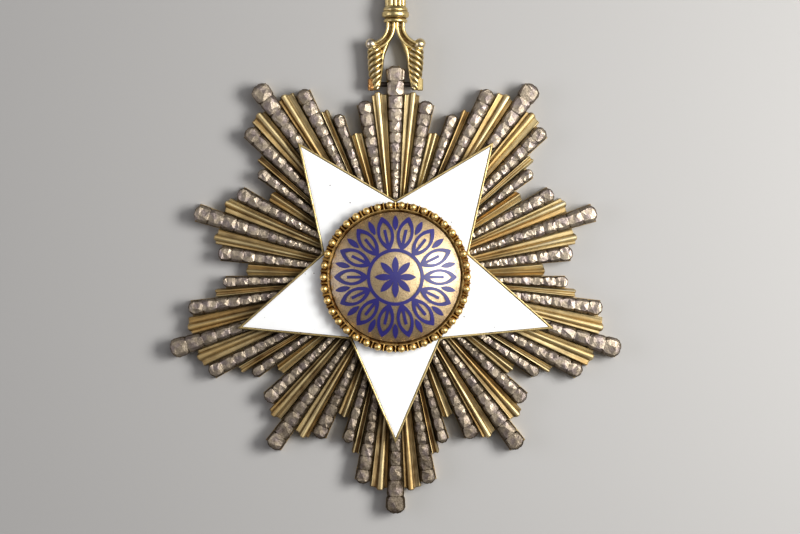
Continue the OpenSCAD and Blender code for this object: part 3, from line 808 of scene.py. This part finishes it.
class INSIGNIA_OT_silver_star(bpy.types.Operator):
    """Silver rays cut into pips, on their hub, and the drilled end of the top ray"""
    bl_idname = "insignia.silver_star"
    bl_label = "Silver star"

    def execute(self, context):
        sizes = context.scene.insignia_star
        high, hand = sizes.table_height / MM, sizes.hand
        star = Blank()
        hub = [(0, SILVER_Z), (HUB_R, SILVER_Z), (HUB_R, HUB_TOP - 0.1), (HUB_R - 0.1, HUB_TOP),
               (0, HUB_TOP)]
        star.add(*turned(hub, 80), hollow=0.6)
        hinge_end = Blank()
        for k, (offset, half, share) in enumerate(SILVER_RAYS):
            inner = star_edge(offset) - 0.6
            for a in places(offset):
                radii = pip_valleys(inner, STAR_R * share, sizes.pip_share)
                seed = round(a * 10) + 5000 * k
                top = abs(a % 360 - 90) < 0.01
                star.add(*link(inner, half), hollow=0.9, turn=a)
                if top:
                    # The last two pips of the top ray are a piece of their own, for the pin
                    points, faces, hollows = cut_ray(radii[-3:], half, HINGE_EDGE_Z, high, hand, seed)
                    hinge_end.add(points, faces, hollows, turn=a)
                    radii = radii[:-3] + [radii[-3] - GAP]
                points, faces, hollows = cut_ray(radii, half, PIP_EDGE_Z, high, hand, seed,
                                                 round_end=not top, flare=0.0 if offset else TIP_FLARE)
                # On the silver, tarnish and painted shade lie in the creases, and painted shade over the
                # bottom and upper left rays; the tables stay bright
                film_and_shade = np.array(hollows) * (1 + side_shade(a, 1.6, 0)) + side_shade(a, 0.85, 0.1)
                star.add(points, faces, film_and_shade, turn=a)
        star.piece("silver_star_cut", "badge", "silver", "cut silver", "silver_star", bevel=0.035,
                   faceted=True)
        end = hinge_end.piece("hinge_ray_cut", "badge", "silver", "cut silver", "hinge_ray", faceted=True)
        bore_r = PIN_R + GAP
        drill(end, turned([(0, -4), (bore_r, -4), (bore_r, 4), (0, 4)], 32, axis="X"), (0, HINGE_Y, AXIS_Z))
        return {"FINISHED"}


def star_ring(margin, z, wave=0.0, steps=14):
    """Outline of the five-pointed star, drawn in by a margin, at one height. Its sides sway by a wave."""
    tip = POINT_R - margin / math.sin(POINT_HALF)
    corner = CORNER_R - margin / math.sin(POINT_HALF + CLUSTER_HALF)
    ring = []
    for k in range(5):
        a = math.radians(FIRST_CLUSTER + CLUSTER * k)
        ends = [polar(corner, a - CLUSTER_HALF), polar(tip, a), polar(corner, a + CLUSTER_HALF)]
        for p, q in zip(ends, ends[1:]):
            across = (q - p).normalized().orthogonal()
            for s in range(steps):
                spot = p.lerp(q, s / steps)
                if s:
                    spot += across * wave * unevenness(spot.x, spot.y, 1.4, margin)
                ring.append((spot.x, spot.y, z))
    return ring


def tray():
    """Gilt tray of the enamel star, as points, faces and hollows: a thin border round a sunk floor."""
    floor_z = FRAME_TOP - CELL_DEPTH
    # Margin, height, wave and how sheltered, up the outside, over the border and down to the floor
    levels = [(0.03, FRAME_Z, 0, 1), (0.0, FRAME_Z + 0.04, 0, 1), (0.0, FRAME_TOP - 0.07, 0.02, 0.6),
              (0.03, FRAME_TOP - 0.02, 0.02, 0.4), (0.09, FRAME_TOP, 0.02, 0.3),
              (0.2, FRAME_TOP, 0.03, 0.3), (0.28, FRAME_TOP - 0.03, 0.05, 0.6),
              (BORDER_W, FRAME_TOP - 0.1, 0.05, 1.2), (BORDER_W, floor_z, 0, 1)]
    rings = [star_ring(margin, z, wave) for margin, z, wave, hollow in levels]
    m, n = len(rings), len(rings[0])
    faces = grid(m, n)
    # The bottom and the floor are fans round a point in their middle
    for first, middle in ((0, m * n), ((m - 1) * n, m * n + 1)):
        faces += [(first + i, first + (i + 1) % n, middle) for i in range(n)]
    points = np.concatenate(rings + [[(0, 0, FRAME_Z), (0, 0, floor_z)]])
    return points, faces, [hollow for *_, hollow in levels for _ in range(n)] + [1, 1]


def enamel_point():
    """Enamel of one cell, its point along +X: a low pillow that rises from a sunk edge."""
    margin = BORDER_W + 0.015
    slope, side = math.tan(POINT_HALF), math.tan(CLUSTER_HALF)
    tip = POINT_R - margin / math.sin(POINT_HALF)
    wall = (BORDER_W + 0.04) * 0.6 / math.cos(CLUSTER_HALF)
    corner = (tip * slope + wall) / (side + slope)
    root = CELL_ROOT + BORDER_W + 0.04
    xs = [root, corner - 0.05, *np.linspace(corner, tip - 0.25, 46), tip - 0.12, tip - 0.04]
    ts = np.sin(np.linspace(-math.pi / 2, math.pi / 2, 31))
    base_z, edge_z, crown = FRAME_TOP - CELL_DEPTH + GAP, FRAME_TOP - 0.10, 0.10
    rows = []
    for x in xs:
        half = min((tip - x) * slope, x * side - wall)
        row = [(x, -half, base_z)]
        for t in ts:
            inside = min((1 - abs(t)) * half * math.cos(POINT_HALF), x - root + 0.6)
            rise = 1 - math.exp(-inside / 0.35)
            row.append((x, t * half, edge_z + crown * rise + 0.012 * unevenness(x, t * half, 3)))
        row.append((x, half, base_z))
        rows.append(row)
    return strung(rows)


class INSIGNIA_OT_enamel_star(bpy.types.Operator):
    """Gilt tray with its thin border, and the white enamel fired into its five points"""
    bl_idname = "insignia.enamel_star"
    bl_label = "Enamel star"

    def execute(self, context):
        border = Blank()
        border.add(*tray())
        border.piece("star_frame_struck", "badge", "gilt", "cast gilding", "star_frame", sharp=40)
        for k in range(5):
            point = Blank()
            point.add(*enamel_point(), turn=FIRST_CLUSTER + CLUSTER * k)
            point.piece(f"enamel_point_{k + 1}_fired", "badge", "white_enamel", "white enamel",
                        f"enamel_point_{k + 1}", sharp=45)
        return {"FINISHED"}


def small_bar():
    """Spool between two beads, lying along +X: thick at its ends, thin in its middle."""
    turns = [2 * math.pi * i / 12 for i in range(12)]
    return strung([[(x, SPOOL_HALF_W * size * math.cos(t), SPOOL_Z + SPOOL_HALF_H * size * math.sin(t))
                    for t in turns] for x, size in SPOOL])


class INSIGNIA_OT_medallion_rim(bpy.types.Operator):
    """Bezel with a row of round beads in a channel and a small bar between each two"""
    bl_idname = "insignia.medallion_rim"
    bl_label = "Beaded bezel"

    def execute(self, context):
        sizes = context.scene.insignia_medallion
        bead_r = sizes.bead_radius / MM
        circle_r = RIM_R - bead_r - 0.03
        rim = Blank()
        rim.add(*turned_in_relief(BEZEL_SECTION, sizes.beads * 4))
        for k in range(sizes.beads):
            a = 360 / sizes.beads * k
            size = bead_r * (1 + 0.04 * unevenness(k, 0, 0.7, 3))
            points, faces = ball(size, 14, 20)
            # Painted shade below, where the beads meet the channel
            low = np.clip((0.25 - points[:, 2] / size) * 1.1, 0, 1)
            place = (circle_r + 0.02 * unevenness(k, 5, 0.6), 0.02 * unevenness(k, 9, 0.6),
                     RIM_TOP + BEAD_LIFT)
            rim.add(points + place, faces, low, turn=a)
            rim.add(*small_bar(), hollow=0.35, turn=a + 180 / sizes.beads)
        rim.piece("medallion_rim_beaded", "badge", "gilt", "fire gilding", "medallion_rim", sharp=38)
        return {"FINISHED"}


def dome(rise):
    """Face with a crown of the given rise, as points, faces and hollows, with painted shade towards its
    edge.
    """
    dome_r = (FACE_R ** 2 + rise ** 2) / (2 * rise)
    centre_z = FACE_EDGE_Z + rise - dome_r
    profile = [(0, FACE_Z), (FACE_R - 0.1, FACE_Z), (FACE_R, FACE_Z + 0.1), (FACE_R, FACE_EDGE_Z - 0.03)]
    profile += [(r, centre_z + math.sqrt(dome_r ** 2 - r ** 2)) for r in np.linspace(FACE_R - 0.005, 0, 40)]
    points, faces = turned(profile, 128)
    # The painted shade is thickest at the edge and gone 1.2 mm further in
    share = np.clip((np.hypot(points[:, 0], points[:, 1]) - FACE_R + 1.2) / 1.2, 0, 1)
    return points, faces, share ** 2 * 0.5


class INSIGNIA_OT_medallion_face(bpy.types.Operator):
    """Domed gilt face with the blue enamel ornament on it, and the rivet's finish"""
    bl_idname = "insignia.medallion_face"
    bl_label = "Domed face"

    def execute(self, context):
        face = Blank()
        face.add(*dome(context.scene.insignia_medallion.dome_rise / MM))
        face.piece("medallion_face_domed", "badge", "gilt", "gilt ground", "medallion_face", sharp=40)
        for name, finish in (("medallion_ornament", "blue enamel"), ("centre_post", "cast gilding")):
            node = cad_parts[name]
            node.data.materials.clear()
            node.data.materials.append(material(finish))
        return {"FINISHED"}


def rope_drop(radius, strands, lead):
    """Drop at the right, twisted from round strands with deep grooves, thickest near its top; its strands
    lie flatter there than at its foot."""
    low, high = ROPE[0][0], ROPE[-1][0]
    ys = np.linspace(low, high, 84)
    shares = np.interp(ys, *zip(*ROPE))
    angles = np.linspace(0, 2 * math.pi, 96, endpoint=False)
    rings, hollows = [], []
    for y, share in zip(ys, shares):
        up = (y - low) / (high - low)
        turn = 2 * math.pi * (high - low) / lead * (0.96 * up + 0.04 * up * up)
        crest = np.abs(np.sin((angles - turn) * strands / 2))
        r = radius * share * (0.74 + 0.26 * crest ** 0.75)
        rings.append(np.stack([r * np.cos(angles) + DROP_X, np.full(96, y), r * np.sin(angles) + AXIS_Z], 1))
        # Dirt and painted shade in the grooves between the strands
        hollows.append(np.clip(1.25 - crest * 1.75, -0.1, 1))
    points, faces = strung(rings)
    return points, faces, np.concatenate(hollows)


def arm():
    """Right arm: two round wires in front and two behind on a web, bent in a quarter circle."""
    section = ARM_SECTION + [(r, -z, hollow) for r, z, hollow in reversed(ARM_SECTION)]
    # Places of the bend's middle and directions out of it: straight at the top, then round the bend
    stations = [(y, (-1, 0)) for y in (ARM_TOP, (ARM_TOP + ARM_Y) / 2)]
    stations += [(ARM_Y, polar(1, math.radians(a))) for a in np.linspace(180, 273, 32)]
    rings = [[(ARM_X + r * c, y + r * s, AXIS_Z + z) for r, z, hollow in section] for y, (c, s) in stations]
    points, faces = strung(rings)
    return points, faces, [hollow for r, z, hollow in section] * len(rings)


def inner_fillet():
    """Smooth strip that runs from under the right arm down the drop's inner side."""
    path = [Vector(p) for p in FILLET_PATH]
    smooth = [path[0]]
    for i in range(len(path) - 1):
        p0, p1, p2, p3 = (path[max(0, min(len(path) - 1, i + d))] for d in (-1, 0, 1, 2))
        smooth += [0.5 * (2 * p1 + (p2 - p0) * s + (2 * p0 - 5 * p1 + 4 * p2 - p3) * s * s
                          + (3 * p1 - p0 - 3 * p2 + p3) * s ** 3) for s in (0.25, 0.5, 0.75, 1.0)]
    rings = []
    for i, spot in enumerate(smooth):
        side = (smooth[min(i + 1, len(smooth) - 1)] - smooth[max(i - 1, 0)]).normalized().orthogonal()
        size = 0.6 if i in (0, len(smooth) - 1) else 1.0
        thick = size * float(np.interp(spot.y, *zip(*FILLET_THICK)))
        deep = size * float(np.interp(spot.y, *zip(*FILLET_DEEP)))
        rings.append([(*(spot + side * thick * math.cos(t)), AXIS_Z + deep * math.sin(t))
                      for t in (2 * math.pi * k / 20 for k in range(20))])
    return strung(rings)


def stem(reeds):
    """Round stem cut with reeds, with dirt and painted shade in the grooves between them."""
    angles = np.linspace(0, 2 * math.pi, 144, endpoint=False)
    crest = np.abs(np.cos(angles * reeds / 2))
    rings = []
    for y, size in STEM:
        r = (1.24 + 0.32 * crest ** 0.6) * size
        rings.append(np.stack([r * np.cos(angles), np.full(144, y), r * np.sin(angles) + AXIS_Z], 1))
    points, faces = strung(rings)
    return points, faces, np.tile(np.clip(1.1 - 1.8 * crest, 0, 1), len(STEM))


def block(low, high, chamfer, seed):
    """Filed block along X with worn edges, a little out of square."""
    rings = []
    for x, inset in ((low[0], chamfer), (low[0] + chamfer, 0), (high[0] - chamfer, 0), (high[0], chamfer)):
        y0, y1, z0, z1 = low[1] + inset, high[1] - inset, low[2] + inset, high[2] - inset
        c = chamfer
        ring = [(y0 + c, z0), (y1 - c, z0), (y1, z0 + c), (y1, z1 - c),
                (y1 - c, z1), (y0 + c, z1), (y0, z1 - c), (y0, z0 + c)]
        rings.append([(x, y + 0.03 * unevenness(x, y, 0.9, seed), z) for y, z in ring])
    return strung(rings)


class INSIGNIA_OT_yoke(bpy.types.Operator):
    """Yoke with its stem, rings, arms, balls, rope-twist drops and loop, and the hinge pin"""
    bl_idname = "insignia.yoke"
    bl_label = "Yoke"

    def execute(self, context):
        sizes = context.scene.insignia_yoke
        yoke = Blank()
        hinge = np.array((0, HINGE_Y, AXIS_Z))
        axis = np.array((0, 0, AXIS_Z))
        for mirror in (False, True):
            yoke.add(*rope_drop(sizes.rope_radius / MM, sizes.strands, sizes.lead / MM), mirror=mirror)
            yoke.add(*arm(), mirror=mirror)
            yoke.add(*inner_fillet(), hollow=0.05, mirror=mirror)
            points, faces = ball(BALL_R, 20, 32)
            yoke.add(points + BALL_PLACE, faces, hollow=-0.25, mirror=mirror)
            points, faces = turned(EYE_SECTION, 40, hoop=True, axis="X")
            yoke.add(points + hinge, faces, hollow=0.4, mirror=mirror)
        points, faces, hollows = turned_in_relief(COLLAR_SECTION, 64, axis="Y")
        yoke.add(points + axis, faces, hollows)
        yoke.add(*stem(sizes.reeds))
        points, faces = turned(NECK_SECTION, 48, axis="Y")
        yoke.add(points + axis, faces, hollow=0.2)
        back = [(r, -z) for r, z in reversed(LOOP_SECTION)]
        points, faces = turned(LOOP_SECTION + back, 96, hoop=True)
        yoke.add(points + (0, LOOP_Y, AXIS_Z), faces, hollow=0.1)
        yoke.piece("suspension_yoke_chased", "yoke", "gilt", "cast gilding", "suspension_yoke", sharp=50)
        # The shank is painted near black as shade, where it lies between the drops and the top ray
        shank = Blank()
        wire = [(0, -PIN_HALF), (PIN_R, -PIN_HALF), (PIN_R, PIN_HALF), (0, PIN_HALF)]
        points, faces = turned(wire, 32, axis="X")
        shank.add(points + hinge, faces, hollow=0.6)
        shank.piece("hinge_pin_shank", "yoke", "silver", "shaded silver", "hinge_pin", sharp=30)
        # The left head is worn down to the solder
        for side, mirror, hollow, finish in (("right", False, 0.1, "cast gilding"),
                                             ("left", True, 0.5, "reddened gilding")):
            head = Blank()
            head.add(*block(PIN_HEAD_LOW, PIN_HEAD_HIGH, 0.12, 8), hollow=hollow, mirror=mirror)
            head.piece(f"hinge_pin_{side}_head", "yoke", "gilt", finish, "hinge_pin", sharp=30)
        return {"FINISHED"}


# The photograph's frame: millimetres to a pixel, the picture's width, how many pixels the star's centre
# stands left of its middle and below it, and the height over the back at which the scale holds
PIXEL = 0.15
PICTURE_W = 800 * PIXEL
CENTRE_LEFT = 4.5
CENTRE_DOWN = 10
SCALE_Z = 3.5
LENS = 100.0
SENSOR_W = 36.0

# Direction of the brightest part of the ceiling, a little to the right of straight above
CEILING = (0.38, 0.15, 0.913)


def place_camera():
    """Camera straight above the badge."""
    camera = bpy.data.objects.new("camera", bpy.data.cameras.new("camera"))
    camera.data.lens = LENS
    camera.data.sensor_width = SENSOR_W
    camera.data.clip_start = 0.01
    camera.data.clip_end = 20
    distance = PICTURE_W * LENS / SENSOR_W
    camera.location = Vector((CENTRE_LEFT * PIXEL, CENTRE_DOWN * PIXEL, distance + SCALE_Z)) * MM
    bpy.context.scene.collection.objects.link(camera)
    bpy.context.scene.camera = camera


def lay_floor(colour):
    """Floor of matte paper."""
    bpy.ops.mesh.primitive_plane_add(size=6)
    floor = bpy.context.object
    floor.name = "floor"
    paper, tree, shader = blank_material("matte paper")
    # Uncoated paper: no gloss, with a faint tooth of about a millimetre
    where = add(tree, "ShaderNodeTexCoord").outputs["Object"]
    tooth = add(tree, "ShaderNodeTexNoise", {"Vector": where, "Scale": 1 / (1.2 * MM), "Detail": 4.0})
    bump = add(tree, "ShaderNodeBump", {"Height": tooth.outputs["Fac"], "Strength": 0.2,
                                        "Distance": 0.05 * MM})
    tree.links.new(bump.outputs["Normal"], shader.inputs["Normal"])
    shader.inputs["Base Color"].default_value = colour
    shader.inputs["Roughness"].default_value = 0.9
    floor.data.materials.append(paper)


def softbox(name, azimuth, elevation, distance, size, power, warmth="#FFFFFF"):
    """Softbox that faces the badge from a direction in degrees, with sizes in metres."""
    light = bpy.data.lights.new(name, "AREA")
    light.shape = "RECTANGLE"
    light.size, light.size_y = size
    light.energy = power
    light.color = srgb(warmth)[:3]
    lamp = bpy.data.objects.new(name, light)
    a, e = math.radians(azimuth), math.radians(elevation)
    lamp.location = Vector((math.cos(a) * math.cos(e), math.sin(a) * math.cos(e), math.sin(e))) * distance
    lamp.rotation_euler = lamp.location.to_track_quat("Z", "Y").to_euler()
    bpy.context.scene.collection.objects.link(lamp)


def light_room(strength):
    """Pale ceiling over dim walls, as the world round the stage."""
    world = bpy.data.worlds.new("room")
    world.use_nodes = True
    tree = world.node_tree
    tree.nodes.clear()
    ray = add(tree, "ShaderNodeTexCoord").outputs["Generated"]
    near = add(tree, "ShaderNodeVectorMath", {0: ray, 1: CEILING}, operation="DOT_PRODUCT").outputs["Value"]
    share = add(tree, "ShaderNodeMapRange", {"Value": near, "From Min": 0.60, "From Max": 1.0,
                                             "To Min": 0.72, "To Max": 1.0}).outputs["Result"]
    power = add(tree, "ShaderNodeMath", {0: share, 1: strength}, operation="MULTIPLY").outputs[0]
    light = add(tree, "ShaderNodeBackground", {"Color": srgb("#FAF7F4"), "Strength": power})
    add(tree, "ShaderNodeOutputWorld", {"Surface": light.outputs["Background"]})
    bpy.context.scene.world = world


class INSIGNIA_OT_stage(bpy.types.Operator):
    """Camera straight above the badge, pale floor and soft studio light"""
    bl_idname = "insignia.stage"
    bl_label = "Stage"

    def execute(self, context):
        sizes = context.scene.insignia_stage
        place_camera()
        lay_floor(sizes.floor)
        softbox("key", 10, 45, 0.26, (0.1, 0.1), sizes.key)
        softbox("glint", 6, 49, 0.26, (0.17, 0.08), sizes.glint)
        softbox("top", 52, 69, 0.27, (0.12, 0.12), sizes.top)
        softbox("fill", 178, 32, 0.5, (0.35, 0.25), sizes.fill, "#F1F2FF")
        light_room(sizes.sky)
        context.scene.view_settings.view_transform = "Standard"
        return {"FINISHED"}


class INSIGNIA_PT_panel(bpy.types.Panel):
    """Lists the badge's sizes, colours and pieces"""
    bl_label = "Insignia"
    bl_idname = "INSIGNIA_PT_panel"
    bl_space_type = "VIEW_3D"
    bl_region_type = "UI"
    bl_category = "Insignia"

    def draw(self, context):
        for group, operators in GROUPS.items():
            box = self.layout.box()
            settings = getattr(context.scene, group)
            for name in settings.__annotations__:
                box.prop(settings, name)
            for operator in operators:
                box.operator(operator.bl_idname)


GROUPS = {
    "insignia_stage": [INSIGNIA_OT_stage],
    "insignia_star": [INSIGNIA_OT_gilt_star, INSIGNIA_OT_silver_star, INSIGNIA_OT_enamel_star],
    "insignia_medallion": [INSIGNIA_OT_medallion_rim, INSIGNIA_OT_medallion_face],
    "insignia_yoke": [INSIGNIA_OT_yoke],
}
SETTINGS = {"insignia_stage": InsigniaStage, "insignia_star": InsigniaStar,
            "insignia_medallion": InsigniaMedallion, "insignia_yoke": InsigniaYoke}
OPERATORS = [operator for operators in GROUPS.values() for operator in operators]


def register():
    for cls in [*SETTINGS.values(), *OPERATORS, INSIGNIA_PT_panel]:
        bpy.utils.register_class(cls)
    for name, cls in SETTINGS.items():
        setattr(bpy.types.Scene, name, PointerProperty(type=cls))


def unregister():
    for name in SETTINGS:
        delattr(bpy.types.Scene, name)
    for cls in [INSIGNIA_PT_panel, *reversed(OPERATORS), *SETTINGS.values()]:
        bpy.utils.unregister_class(cls)


def main():
    register()
    bpy.ops.insignia.stage()
    bpy.ops.insignia.gilt_star()
    bpy.ops.insignia.silver_star()
    bpy.ops.insignia.enamel_star()
    bpy.ops.insignia.medallion_rim()
    bpy.ops.insignia.medallion_face()
    bpy.ops.insignia.yoke()


if __name__ == "__main__":
    main()
